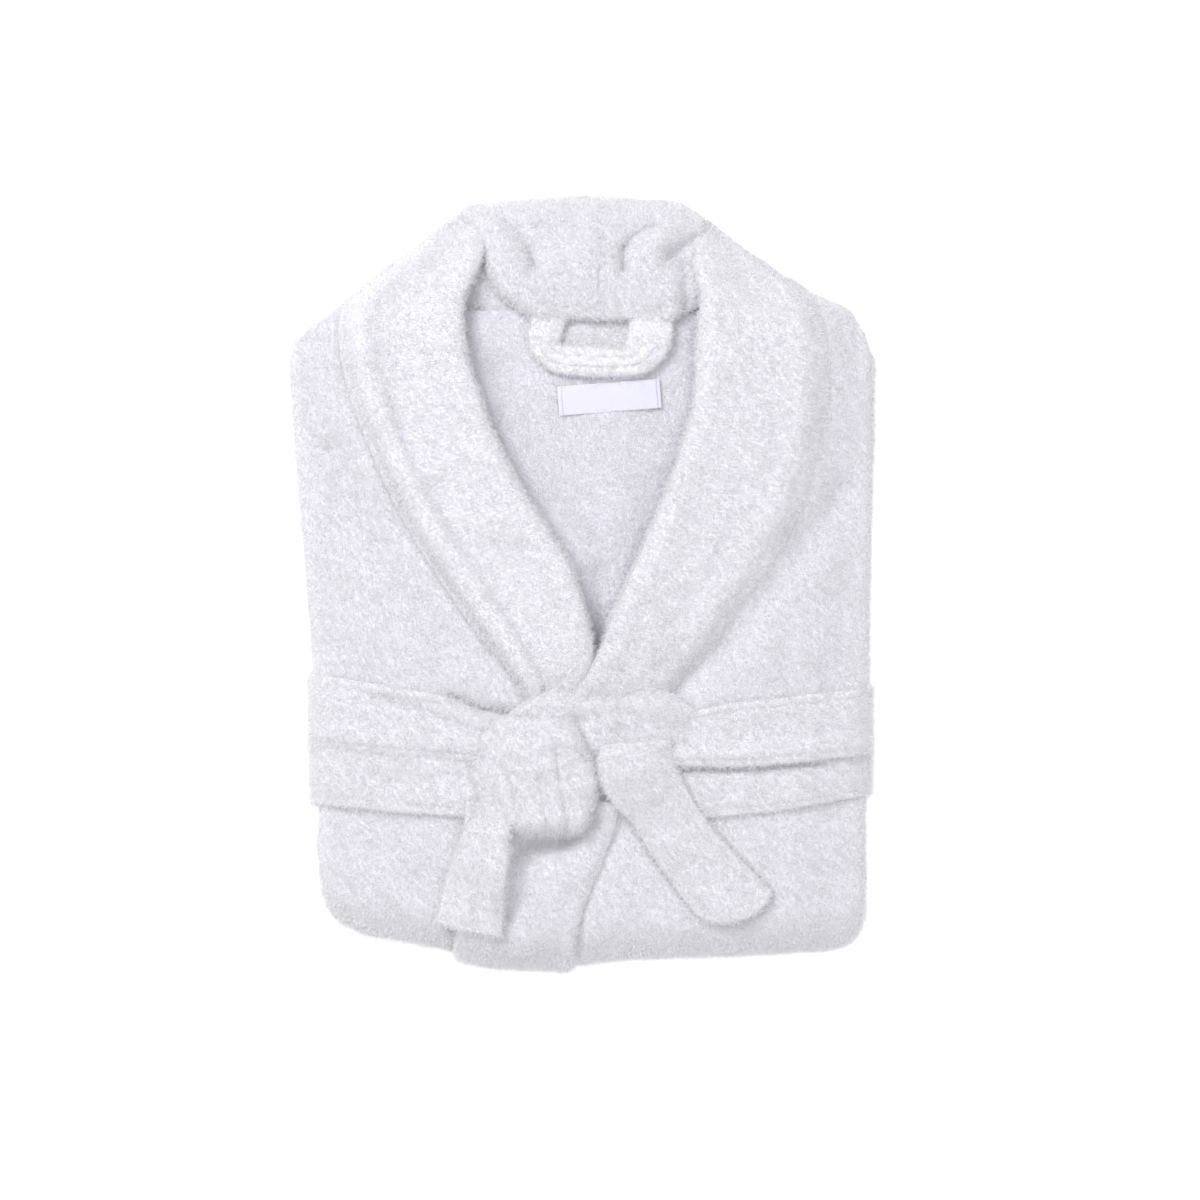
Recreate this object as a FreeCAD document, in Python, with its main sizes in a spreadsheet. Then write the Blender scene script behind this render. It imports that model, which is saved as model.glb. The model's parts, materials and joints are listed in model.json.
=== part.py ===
import FreeCAD, Part
import math
import os

import Sketcher

# A terry bathrobe folded into a flat bundle and tied with its own belt.
# Frame: +Z up, the bundle lies on z = 0, +Y runs from the tied belt towards the collar, +X is the
# wearer's left when the robe is worn.  The origin is under the middle of the bundle's box.
# The torso (leaf A) lies on top, face up.  The skirt folds under at the bottom edge (leaf B, face
# down) and its last part is rolled back in between (leaf C).  The sleeves are tucked under leaf A.

NODES = {}
doc = FreeCAD.newDocument("bathrobe")
sheet = doc.addObject("Spreadsheet::Sheet", "sizes")

# Driving dimensions in millimetres.
SIZES = {
    "half_width": 187.0,          # box of the whole bundle
    "half_length": 247.0,
    # cloth thicknesses and clearances
    "ply": 3.2,                   # one thickness of loop-pile terry
    "ply_gap": 0.3,               # clearance between plies of one leaf
    "leaf_gap": 0.4,              # clearance between leaves
    "back_slab": 6.6,             # back panel with the seam allowances behind it
    "sleeve_pad": 10.6,           # a flattened sleeve, folded once
    "belt_cloth": 3.1,
    "tail_cloth": 4.0,
    # folded torso and skirt
    "shoulder_y": 148.0,          # widest place of the bundle
    "left_edge_low": 162.5,       # half widths at the bottom fold
    "right_edge_low": 181.5,
    "right_edge_high": 186.2,     # right half width at the shoulder
    "neck_seam_y": 170.0,
    "shoulder_top_y": 208.0,
    "right_front_reach": 77.0,    # how far the right front crosses the middle at the bottom
    "left_front_reach": 72.0,
    "return_gap": 8.0,            # half gap between the two side returns behind the back
    "roll_y": 132.7,              # where the skirt rolls back in
    "hem_y": 195.0,               # hem of leaf C, below the middle
    "edge_chamfer": 2.4,
    # collar
    "collar_thick": 5.8,
    "collar_centre_x": 10.6,      # centre-back seam
    "collar_half": 76.0,          # half width of the stand behind the neck
    "collar_seam_gap": 0.2,
    "collar_start_y": 172.6,
    "collar_fall_y": 196.0,
    # hanger loop
    "loop_thick": 5.0,
    "loop_floor": 0.8,            # clearance between loop and back panel
    "loop_axis_y": 169.5,
    # label
    "label_long": 66.0,
    "label_wide": 19.0,
    "label_thick": 0.8,
    "label_x": 18.0,
    "label_y": 118.5,
    "label_turn": 4.5,
    "stitch_wide": 1.4,
    "stitch_thick": 0.5,
    # belt
    "belt_wide": 44.0,
    "belt_upper_y": -63.8,        # upper edge of the upper wrap
    "wrap_gap": 0.2,
    "knot_left": 57.4,            # the front runs stop here, on the left and on the right
    "knot_right": 62.6,
    "knot_band_top": 80.0,
    "knot_top": 97.0,
    "belt_round": 2.6,
    # loose tails: place of the bend where each leaves the knot, and its direction
    "tail_right_x": 34.0,
    "tail_right_y": -124.0,
    "tail_right_turn": 35.6,
    "tail_left_x": -58.5,
    "tail_left_y": -163.0,
    "tail_left_turn": -12.7,
    # small pieces inside the bundle
    "pocket_thick": 3.0,
    "band_thick": 3.0,
    "guide_thick": 3.0,
}

# Outlines seen from above (x, y), or (x, y, radius) where an arc of that radius leads to the point;
# a positive radius bulges to the right of the way the outline runs.
OUTLINES = {
    "lapel_left": [
        (-67.0, 231.0), (-75.1, 240.7), (-116.7, 208.1), (-156.4, 176.1), (-116.7, 42.3, -420.0),
        (-46.0, -57.0, -640.0), (-38.0, -62.6), (-11.0, -62.6), (-1.0, -30.0, 80.0),
        (-9.2, 12.9, 110.0), (-54.0, 89.0), (-77.0, 178.0, 330.0), (-59.1, 214.5),
    ],
    "lapel_right": [
        (75.3, 217.7), (72.0, 197.8), (76.0, 184.0), (65.1, 89.0, 420.0), (12.6, -37.1, -900.0),
        (1.0, -62.6), (66.0, -62.6), (115.0, 2.6, -420.0), (154.7, 92.2, -210.0),
        (147.6, 186.3, -300.0), (115.0, 204.2), (78.5, 232.4),
    ],
    "under_left": [
        (-80.0, 204.0), (-116.0, 204.0), (-152.0, 174.0), (-113.0, 44.0, -420.0),
        (-46.0, -52.0, -640.0), (-36.0, -60.0), (-16.0, -60.0), (-8.0, -12.0), (-32.0, 44.0),
        (-60.0, 92.0), (-80.0, 178.0, 330.0),
    ],
    "under_right": [
        (80.0, 204.0), (80.0, 184.0), (69.0, 89.0, 420.0), (18.0, -36.0, -900.0), (7.0, -60.0),
        (64.0, -60.0), (111.0, 4.0, -420.0), (150.0, 92.0, -210.0), (143.0, 184.0, -300.0),
        (115.0, 200.0),
    ],
    "sleeve": [
        (10.0, -60.0), (158.0, -60.0), (160.0, 150.0), (128.0, 172.0), (100.0, 190.0), (10.0, 190.0),
    ],
    "cuff": [(10.0, -160.0), (152.0, -160.0), (152.0, -60.6), (10.0, -60.6)],
    "pocket_right": [(20.0, -40.0), (160.0, -40.0), (160.0, 120.0), (20.0, 120.0)],
    "pocket_left": [(-162.0, -40.0), (-82.0, -40.0), (-82.0, 120.0), (-162.0, 120.0)],
    "front_band": [(-76.0, -222.0), (-4.0, -222.0), (-22.0, -161.0), (-50.0, -161.0)],
    "guide": [(50.0, -206.0), (62.0, -206.0), (62.0, -164.0), (50.0, -164.0)],
    "loop_outer": [
        (-31.0, 169.5), (-34.0, 153.0), (-16.5, 134.0, 24.0), (12.0, 131.5), (37.0, 132.5),
        (57.0, 155.0, 26.0), (58.0, 169.5), (31.0, 169.5), (29.0, 149.5), (-14.0, 152.0),
        (-10.0, 169.5),
    ],
    "knot_band": [
        (-57.0, -77.0), (-57.0, -117.0), (13.0, -117.0), (15.6, -134.3), (49.6, -109.9),
        (58.0, -104.0), (62.0, -80.0), (32.0, -72.0), (-4.0, -70.5), (-40.0, -77.0),
    ],
    "knot_loop_over": [
        (-50.0, -84.0), (-50.0, -150.0), (0.0, -159.0, 120.0), (12.0, -124.0), (6.0, -86.0),
        (-4.0, -74.0), (-40.0, -79.0),
    ],
    "knot_loop_foot": [(-50.0, -117.4), (-52.0, -154.0), (-1.0, -160.0), (12.0, -117.4)],
    # in the tail's own frame: the bend lies on the x axis and the tail runs along -y
    "tail_right": [
        (-18.0, 0.01), (-19.0, -45.0), (-22.0, -98.0), (-14.0, -114.0, 22.0), (12.0, -116.0, 60.0),
        (22.0, -100.0, 22.0), (20.0, -45.0), (18.0, 0.01),
    ],
    "tail_left": [(-8.5, 0.01), (-24.5, -66.0), (27.5, -56.0), (8.5, 0.01)],
}

# Neck opening: the edge of each front, from the shoulder down to where it runs straight under the
# other front.  It stays under the lapel.
FRONT_EDGE_RIGHT = [(90.0, 250.0), (84.0, 180.0), (80.0, 115.0), (64.0, 62.0), (42.0, 10.0),
                    (20.0, -37.0), (2.0, -64.0)]
FRONT_EDGE_LEFT = [(-90.0, 250.0), (-84.0, 180.0), (-80.0, 141.0), (-62.0, 89.0), (-32.0, 36.0),
                   (-8.0, -10.0), (4.0, -64.0)]
SHOULDER_LINE = [(-187.0, 148.0), (-179.4, 160.1), (-156.4, 176.1), (-116.7, 208.0),
                 (115.0, 208.0), (147.6, 186.3), (174.5, 174.8), (182.8, 161.3), (187.0, 141.5)]


class Size:
    """A length that also carries the spreadsheet expression it is worked out from."""

    def __init__(self, value, text):
        self.value = value
        self.text = text

    def __add__(self, other):
        other = as_size(other)
        return Size(self.value + other.value, f"({self.text} + {other.text})")

    def __sub__(self, other):
        other = as_size(other)
        return Size(self.value - other.value, f"({self.text} - {other.text})")

    def __mul__(self, factor):
        return Size(self.value * factor, f"({self.text} * {factor})")

    def __neg__(self):
        return self * -1.0


def as_size(value):
    return value if isinstance(value, Size) else Size(value, str(value))


def fill_sheet():
    """One row per driving dimension, then one row per coordinate of every outline."""
    cells = dict(SIZES)
    for name, points in OUTLINES.items():
        for index, point in enumerate(points):
            for part, value in zip(("x", "y", "radius"), point):
                cells[f"{name}_{index}_{part}"] = value
    for row, (alias, value) in enumerate(cells.items(), start=1):
        sheet.set(f"A{row}", alias)
        sheet.set(f"B{row}", str(value))
        sheet.setAlias(f"B{row}", alias)
    doc.recompute()
    return {alias: Size(float(sheet.get(alias)), f"sizes.{alias}") for alias in cells}


S = fill_sheet()
mm = {alias: entry.value for alias, entry in S.items()}

# Heights of the stack, from the resting face up.
base = S["belt_cloth"] + 0.2
pitch = S["ply"] + S["ply_gap"]
leaf_height = pitch * 2.0 + S["back_slab"] + S["ply_gap"] + S["ply"]
leaf_c_bottom = base + leaf_height + S["leaf_gap"]
sleeve_bottom = leaf_c_bottom + leaf_height + S["leaf_gap"]
leaf_a_bottom = sleeve_bottom + S["sleeve_pad"] + S["leaf_gap"]
back_bottom = leaf_a_bottom + pitch
back_top = back_bottom + S["back_slab"]
left_front_bottom = back_top + S["ply_gap"]
right_front_bottom = left_front_bottom + pitch
front_top = right_front_bottom + S["ply"]
belt_top = front_top + S["ply_gap"] + S["belt_cloth"]
under_top = front_top + pitch
collar_bottom = under_top + S["ply_gap"]
tail_bottom = belt_top + S["ply_gap"]
fold_axis_z = (base + front_top) * 0.5
roll_axis_z = base + leaf_height + S["leaf_gap"] * 0.5
fold_axis_y = -(S["half_length"] - (front_top - base) * 0.5)


# ---------------------------------------------------------------- sketches and bodies

def origin_plane(body, role):
    return next(plane for plane in body.Origin.OriginFeatures if plane.Role == role)


def new_body(label):
    body = doc.addObject("PartDesign::Body", label + "_body")
    body.Label = label
    NODES[label] = body
    return body


def arc_between(start, end, radius):
    """The short arc from start to end; a positive radius bulges to the right of the way."""
    chord = end - start
    half = chord.Length / 2.0
    height = abs(radius) - math.sqrt(radius * radius - half * half)
    right = FreeCAD.Vector(chord.y, -chord.x, 0).normalize()
    middle = (start + end) * 0.5 + right * math.copysign(height, radius)
    return Part.Arc(start, middle, end)


def fix_point(sketch, geometry, position, point):
    """Tie a vertex to the sheet, by its two coordinates."""
    for kind, size in (("DistanceX", point[0]), ("DistanceY", point[1])):
        rule = Sketcher.Constraint(kind, -1, 1, geometry, position, size.value)
        index = sketch.addConstraint(rule)
        sketch.setExpression(f"Constraints[{index}]", size.text)


def new_sketch(body, name, plane, offset):
    sketch = body.newObject("Sketcher::SketchObject", name)
    sketch.AttachmentSupport = [(origin_plane(body, plane), "")]
    sketch.MapMode = "FlatFace"
    sketch.setExpression("AttachmentOffset.Base.z", as_size(offset).text)
    return sketch


def draw(sketch, points):
    """Close an outline through the points; the third entry of a point is its arc's radius."""
    corners = [FreeCAD.Vector(point[0].value, point[1].value, 0) for point in points]
    ends = []
    for index in range(len(points)):
        target = (index + 1) % len(points)
        start, end = corners[index], corners[target]
        radius = points[target][2] if len(points[target]) > 2 else None
        edge = arc_between(start, end, radius.value) if radius else Part.LineSegment(start, end)
        geometry = sketch.addGeometry(edge, False)
        forward = sketch.getPoint(geometry, 1).distanceToPoint(start) < 0.001
        ends.append((geometry, 1 if forward else 2, 2 if forward else 1))
        if radius:
            size = radius * math.copysign(1.0, radius.value)
            bend = sketch.addConstraint(Sketcher.Constraint("Radius", geometry, size.value))
            sketch.setExpression(f"Constraints[{bend}]", size.text)
    for index, (geometry, first, last) in enumerate(ends):
        following = ends[(index + 1) % len(ends)]
        sketch.addConstraint(Sketcher.Constraint("Coincident", geometry, last, following[0], following[1]))
        fix_point(sketch, geometry, first, points[index])
    return sketch


def outline(name):
    """The sheet's cells of a named outline."""
    return [tuple(S[f"{name}_{index}_{part}"] for part in ("x", "y", "radius")[:len(point)])
            for index, point in enumerate(OUTLINES[name])]


def mirrored(points):
    return [(-point[0], point[1]) for point in points]


def pad(body, sketch, length, midplane=False):
    feature = body.newObject("PartDesign::Pad", sketch.Name + "_pad")
    feature.Profile = sketch
    feature.Midplane = midplane
    feature.setExpression("Length", as_size(length).text)
    return feature


def plate(label, points, bottom, thickness):
    """A flat piece of cloth: an outline in plan, padded upwards."""
    body = new_body(label)
    sketch = draw(new_sketch(body, label + "_outline", "XY_Plane", bottom), points)
    pad(body, sketch, thickness)
    return body


def round_edges(body, chosen, radius):
    """Fillet the edges of the body's last feature that the test picks."""
    doc.recompute()
    base_feature = body.Tip
    names = [f"Edge{index}" for index, edge in enumerate(base_feature.Shape.Edges, start=1) if chosen(edge)]
    fillet = body.newObject("PartDesign::Fillet", base_feature.Name + "_round")
    fillet.Base = (base_feature, names)
    fillet.setExpression("Radius", radius.text)
    return fillet


# ---------------------------------------------------------------- folded panels

def edge_x(side, y):
    """Side edge of the bundle at y: it tapers towards the bottom fold."""
    low = mm["left_edge_low"] if side < 0 else mm["right_edge_low"]
    high = mm["half_width"] if side < 0 else mm["right_edge_high"]
    share = (y - fold_axis_y.value) / (mm["shoulder_y"] - fold_axis_y.value)
    return side * (low + (high - low) * share)


def front_section(side, inner_x, front_bottom):
    """One front: its ply on top, the turn round the side and the return behind the back panel."""
    ply, chamfer = mm["ply"], mm["edge_chamfer"]
    low, top = leaf_a_bottom.value, front_bottom.value + mm["ply"]

    def section(y):
        edge = edge_x(side, y)
        inside = edge - side * ply
        shoulder = edge - side * chamfer
        back = side * mm["return_gap"]
        return [(inner_x, top), (shoulder, top), (edge, top - chamfer), (edge, low + chamfer),
                (shoulder, low), (back, low), (back, low + ply), (inside, low + ply),
                (inside, top - ply), (inner_x, top - ply)]
    return section


def back_section(y):
    """The back panel lies inside the two fronts."""
    clear = mm["ply"] + mm["ply_gap"]
    left, right = edge_x(-1, y) + clear, edge_x(1, y) - clear
    low, top = back_bottom.value, back_top.value
    return [(left, low), (right, low), (right, top), (left, top)]


def wire_at(section, y, level):
    points = [FreeCAD.Vector(x, y, level(z)) for x, z in section(y)]
    return Part.makePolygon(points + points[:1])


def leaf(section, y_start, y_end, level):
    return Part.makeLoft([wire_at(section, y, level) for y in (y_start, y_end)], True, True)


def turn(section, y, level, axis_z):
    face = Part.Face(wire_at(section, y, level))
    return face.revolve(FreeCAD.Vector(0, y, axis_z), FreeCAD.Vector(1, 0, 0), 180)


def column(points):
    """A tall prism over an outline in plan, from the back panel's return up."""
    corners = [FreeCAD.Vector(x, y, 0) for x, y in points]
    face = Part.Face(Part.makePolygon(corners + corners[:1]))
    return face.extrude(FreeCAD.Vector(0, 0, front_top.value * 2.0))


def folded_panel(label, section, cuts):
    """Leaf A, the bottom fold, leaf B, the roll and leaf C of one panel, in one solid."""
    fold_y, fold_z = fold_axis_y.value, fold_axis_z.value
    roll_y, roll_z = mm["roll_y"], roll_axis_z.value
    level_a = lambda z: z
    level_b = lambda z: 2.0 * fold_z - z
    level_c = lambda z: z - 2.0 * (fold_z - roll_z)
    leaf_a = leaf(section, mm["shoulder_top_y"] + 4.0, fold_y, level_a)
    line = SHOULDER_LINE + [(mm["half_width"], fold_y), (-mm["half_width"], fold_y)]
    leaf_a = leaf_a.common(column(line))
    for cut in cuts:
        leaf_a = leaf_a.cut(cut)
    rest = [
        turn(section, fold_y, level_a, fold_z),
        leaf(section, fold_y, roll_y, level_b),
        turn(section, roll_y, level_b, roll_z),
        leaf(section, roll_y, -mm["hem_y"], level_c),
    ]
    feature = doc.addObject("Part::Feature", label)
    feature.Label = label
    feature.Shape = leaf_a.multiFuse(rest).removeSplitter()
    feature.Placement = FreeCAD.Placement()
    NODES[label] = feature
    return feature


def front_cut(front_edge, side, reach):
    """What is cut from a front beside the neck opening: all that lies past its edge."""
    far = -side * mm["half_width"] * 1.2
    fold_y = fold_axis_y.value
    points = front_edge + [(-side * reach, fold_y), (far, fold_y), (far, front_edge[0][1])]
    keep_return = FreeCAD.Vector(0, 0, back_top.value)
    return column(points).translated(keep_return)


def neck_cut():
    """The hollow of the back panel behind the neck."""
    half = mm["collar_half"] + 1.0
    corners = [(-half, mm["neck_seam_y"]), (half, mm["neck_seam_y"]), (half, 260.0), (-half, 260.0)]
    return column(corners)


def make_panels():
    right = front_section(1, -mm["right_front_reach"], right_front_bottom)
    left = front_section(-1, mm["left_front_reach"], left_front_bottom)
    folded_panel("front_panel_right", right, [front_cut(FRONT_EDGE_RIGHT, 1, mm["right_front_reach"])])
    folded_panel("front_panel_left", left, [front_cut(FRONT_EDGE_LEFT, -1, mm["left_front_reach"])])
    folded_panel("back_panel", back_section, [neck_cut()])


# ---------------------------------------------------------------- collar

def collar_profile():
    """Section of the stand behind the neck, (y, z): it rises from the neck seam, rolls over and
    falls behind the back panel."""
    thick, start, end = S["collar_thick"], S["collar_start_y"], S["half_length"]
    rise = back_top + S["leaf_gap"]
    top = collar_bottom + thick
    low = sleeve_bottom + 0.1
    return [
        (start, rise), (end - 17.0, collar_bottom), (end - 11.0, collar_bottom - 3.0),
        (end - thick, collar_bottom - 10.0), (end - thick, low + thick * 2.0), (end - 13.0, low + thick),
        (S["collar_fall_y"], low + thick), (S["collar_fall_y"], low), (end - 10.0, low),
        (end - 2.0, low + thick), (end, low + thick * 2.0), (end, collar_bottom - 8.0),
        (end - 3.0, collar_bottom + 1.0), (end - 12.0, top), (start, rise + thick),
    ]


def shawl_collar(label, outline_name, side):
    """A lapel plate with its half of the stand behind the neck."""
    body = new_body(label)
    lapel = draw(new_sketch(body, label + "_lapel", "XY_Plane", collar_bottom), outline(outline_name))
    pad(body, lapel, S["collar_thick"])
    seam = S["collar_centre_x"] + S["collar_seam_gap"] * float(side)
    outer = S["collar_half"] * float(side)
    start, length = (seam, outer - seam) if side > 0 else (outer, seam - outer)
    stand = draw(new_sketch(body, label + "_stand", "YZ_Plane", start), collar_profile())
    pad(body, stand, length)
    return body


def make_collar():
    shawl_collar("shawl_collar_left", "lapel_left", -1)
    shawl_collar("shawl_collar_right", "lapel_right", 1)
    plate("under_collar_left", outline("under_left"), right_front_bottom, under_top - right_front_bottom)
    plate("under_collar_right", outline("under_right"), front_top + S["ply_gap"], S["ply"])


# ---------------------------------------------------------------- hanger loop and label

def make_hanger_loop():
    """A strip sewn at both ends into the neck seam; its feet are rounded about the seam."""
    bottom = back_top + S["loop_floor"]
    body = plate("hanger_loop", outline("loop_outer"), bottom, S["loop_thick"])
    radius = S["loop_thick"] * 0.5
    feet = ((S["loop_outer_0_x"], S["loop_outer_10_x"]), (S["loop_outer_7_x"], S["loop_outer_6_x"]))
    for side, (start, end) in zip(("left", "right"), feet):
        round_root(body, "foot_" + side, start, end, S["loop_axis_y"], bottom + radius, radius)


def round_root(body, name, start, end, y, z, radius):
    """A round bar along x that a hinged piece of cloth ends in."""
    sketch = new_sketch(body, name, "YZ_Plane", start)
    centre = FreeCAD.Vector(y.value, z.value, 0)
    circle = sketch.addGeometry(Part.Circle(centre, FreeCAD.Vector(0, 0, 1), radius.value), False)
    fix_point(sketch, circle, 3, (y, z))
    rule = sketch.addConstraint(Sketcher.Constraint("Radius", circle, radius.value))
    sketch.setExpression(f"Constraints[{rule}]", radius.text)
    pad(body, sketch, end - start)


def place(body, x, y, angle):
    """Turn a body about +Z and put its own origin at (x, y)."""
    body.Placement = FreeCAD.Placement(FreeCAD.Vector(x.value, y.value, 0),
                                       FreeCAD.Rotation(FreeCAD.Vector(0, 0, 1), angle.value))
    body.setExpression("Placement.Base.x", x.text)
    body.setExpression("Placement.Base.y", y.text)
    body.setExpression("Placement.Rotation.Angle", angle.text)


def rectangle(x_low, x_high, y_half):
    return [(x_low, -y_half), (x_high, -y_half), (x_high, y_half), (x_low, y_half)]


def make_label():
    """A blank woven label and the two lines of stitching that hold its ends."""
    half, wide = S["label_long"] * 0.5, S["label_wide"] * 0.5
    bottom = back_top + S["ply_gap"]
    label = plate("brand_label", rectangle(-half, half, wide), bottom, S["label_thick"])
    top = bottom + S["label_thick"] + 0.05
    stitches = new_body("label_stitches")
    for side in (-1.0, 1.0):
        inner = (half - 3.0) * side
        outer = inner + S["stitch_wide"] * side
        low, high = (inner, outer) if side > 0 else (outer, inner)
        name = "stitch_left" if side < 0 else "stitch_right"
        sketch = new_sketch(stitches, name, "XY_Plane", top)
        pad(stitches, draw(sketch, rectangle(low, high, wide - 1.0)), S["stitch_thick"])
    for body in (label, stitches):
        place(body, S["label_x"], S["label_y"], S["label_turn"])


# ---------------------------------------------------------------- sleeves and small pieces

def make_sleeves():
    for side, points in (("right", outline), ("left", lambda name: mirrored(outline(name)))):
        plate("sleeve_" + side, points("sleeve"), sleeve_bottom, S["sleeve_pad"])
        plate("cuff_" + side, points("cuff"), sleeve_bottom, S["sleeve_pad"])


def make_small_pieces():
    """Patch pockets on the skirt, belt guides at the side seams, and the facing of the right front
    where it shows under the belt."""
    under_right = base - S["ply_gap"] - S["pocket_thick"]
    plate("pocket_right", outline("pocket_right"), under_right, S["pocket_thick"])
    plate("pocket_left", outline("pocket_left"), under_right + pitch, S["pocket_thick"])
    guide_bottom = leaf_a_bottom - S["leaf_gap"] - S["guide_thick"]
    plate("belt_guide_right", outline("guide"), guide_bottom, S["guide_thick"])
    plate("belt_guide_left", mirrored(outline("guide")), guide_bottom, S["guide_thick"])
    plate("front_band_right", outline("front_band"), front_top + 0.2, S["band_thick"])


# ---------------------------------------------------------------- belt

def belt_wrap(label, upper_edge):
    """One turn of the belt round the bundle, open where the knot sits."""
    cloth, clear = S["belt_cloth"], S["ply_gap"]
    left = Size(edge_x(-1, upper_edge.value), str(edge_x(-1, upper_edge.value))) - clear - cloth
    right = Size(edge_x(1, upper_edge.value), str(edge_x(1, upper_edge.value))) + clear + cloth
    floor = as_size(0.0)
    under, over = belt_top - cloth, belt_top
    points = [
        (-S["knot_left"], over), (left, over), (left, floor), (right, floor), (right, over),
        (S["knot_right"], over), (S["knot_right"], under), (right - cloth, under),
        (right - cloth, cloth), (left + cloth, cloth), (left + cloth, under), (-S["knot_left"], under),
    ]
    body = new_body(label)
    # The plane's normal points to -Y, so the offset is measured downwards from the upper edge.
    sketch = draw(new_sketch(body, label + "_section", "XZ_Plane", -upper_edge), points)
    pad(body, sketch, S["belt_wide"])

    def outer_corner(edge):
        along = abs(edge.tangentAt(edge.FirstParameter).y) > 0.99
        x, z = edge.CenterOfMass.x, edge.CenterOfMass.z
        at_side = min(abs(x - left.value), abs(x - right.value)) < 0.01
        return along and at_side and min(z, abs(z - over.value)) < 0.01
    round_edges(body, outer_corner, S["belt_round"])


def make_belt():
    upper = S["belt_upper_y"]
    belt_wrap("belt_wrap_upper", upper)
    belt_wrap("belt_wrap_lower", upper - S["belt_wide"] - S["wrap_gap"])


def make_knot():
    """The band that crosses behind, and the puffed loop that comes down over it."""
    floor = belt_top - S["belt_cloth"]
    plate("belt_knot_band", outline("knot_band"), floor, S["knot_band_top"] - floor)
    body = plate("belt_knot_loop", outline("knot_loop_foot"), floor, S["knot_top"] - floor - 2.0)
    over_floor = S["knot_band_top"] + S["ply_gap"]
    over = draw(new_sketch(body, "knot_over", "XY_Plane", over_floor), outline("knot_loop_over"))
    pad(body, over, S["knot_top"] - over_floor)


def belt_tail(label, x, y, angle):
    """A loose end: a flat strip with a round root at the bend where it leaves the knot."""
    shape = outline(label.replace("belt_", ""))
    body = plate(label, shape, tail_bottom, S["tail_cloth"])
    radius = S["tail_cloth"] * 0.5
    round_root(body, label + "_root", shape[0][0], shape[-1][0], shape[0][1], tail_bottom + radius, radius)
    place(body, x, y, angle)


def make_tails():
    belt_tail("belt_tail_right", S["tail_right_x"], S["tail_right_y"], S["tail_right_turn"])
    belt_tail("belt_tail_left", S["tail_left_x"], S["tail_left_y"], S["tail_left_turn"])


def check_and_write():
    doc.recompute()
    for item in doc.Objects:
        if "Invalid" in item.State or "Error" in item.State:
            raise RuntimeError(f"{item.Label} failed: {item.State}")
    for label, item in NODES.items():
        if item.Shape.isNull() or not item.Shape.isValid():
            raise RuntimeError(f"{label} has no valid shape")
    os.makedirs("parts", exist_ok=True)
    for label, item in NODES.items():
        item.Shape.exportStep(f"parts/{label}.step")


make_panels()
make_collar()
make_hanger_loop()
make_label()
make_sleeves()
make_small_pieces()
make_belt()
make_knot()
make_tails()
check_and_write()
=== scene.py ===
import json
import math

import bmesh
import bpy
import numpy as np
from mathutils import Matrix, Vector

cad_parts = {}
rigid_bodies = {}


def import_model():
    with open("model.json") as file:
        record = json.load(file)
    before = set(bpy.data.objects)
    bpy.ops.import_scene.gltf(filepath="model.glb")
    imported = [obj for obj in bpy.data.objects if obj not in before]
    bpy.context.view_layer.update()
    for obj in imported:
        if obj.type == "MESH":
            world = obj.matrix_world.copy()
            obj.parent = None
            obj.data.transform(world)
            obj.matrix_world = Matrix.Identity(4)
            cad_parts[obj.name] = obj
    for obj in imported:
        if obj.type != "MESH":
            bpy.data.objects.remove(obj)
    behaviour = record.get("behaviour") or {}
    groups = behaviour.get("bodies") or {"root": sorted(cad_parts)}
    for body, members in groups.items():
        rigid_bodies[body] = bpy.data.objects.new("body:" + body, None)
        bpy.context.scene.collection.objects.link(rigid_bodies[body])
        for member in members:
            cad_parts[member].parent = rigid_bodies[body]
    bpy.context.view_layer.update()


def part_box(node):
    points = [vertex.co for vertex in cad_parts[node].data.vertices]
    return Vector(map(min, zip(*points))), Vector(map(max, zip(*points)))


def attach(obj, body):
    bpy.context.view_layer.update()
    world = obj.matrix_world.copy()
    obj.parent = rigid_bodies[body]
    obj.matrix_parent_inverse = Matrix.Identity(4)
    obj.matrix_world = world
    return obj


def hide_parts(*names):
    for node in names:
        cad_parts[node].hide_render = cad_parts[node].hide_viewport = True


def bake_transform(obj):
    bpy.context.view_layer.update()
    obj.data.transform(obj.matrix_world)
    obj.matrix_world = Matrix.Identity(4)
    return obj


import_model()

# The folded, belted bathrobe.  Lengths below are millimetres; MM turns them into metres.
MM = 0.001


def top_of(node):
    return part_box(node)[1].z / MM


def bottom_of(node):
    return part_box(node)[0].z / MM


# Heights of the stack, read from the frame.
FLOOR = bottom_of("belt_wrap_upper")
RIGHT_PLY = (bottom_of("under_collar_right") - 3.5, top_of("front_panel_right"))
LEFT_PLY = (RIGHT_PLY[0] - 3.5, top_of("front_panel_left"))
BACK = (top_of("back_panel") - 6.6, top_of("back_panel"))
RETURN = (BACK[0] - 3.5, BACK[0] - 0.3)
SLEEVE = (bottom_of("sleeve_left"), top_of("sleeve_left"))
BASE = bottom_of("front_panel_right")
FOLD_Z = (BASE + RIGHT_PLY[1]) / 2
FOLD_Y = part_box("front_panel_right")[0].y / MM + FOLD_Z - BASE
ROLL_Z = (BASE + SLEEVE[0] - 0.4) / 2
ROLL_Y = 132.7
HEM_Y = -195.0
BELT_TOP = top_of("belt_wrap_upper")
TERRY = 1.7                      # half thickness of one ply with its pile

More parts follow.
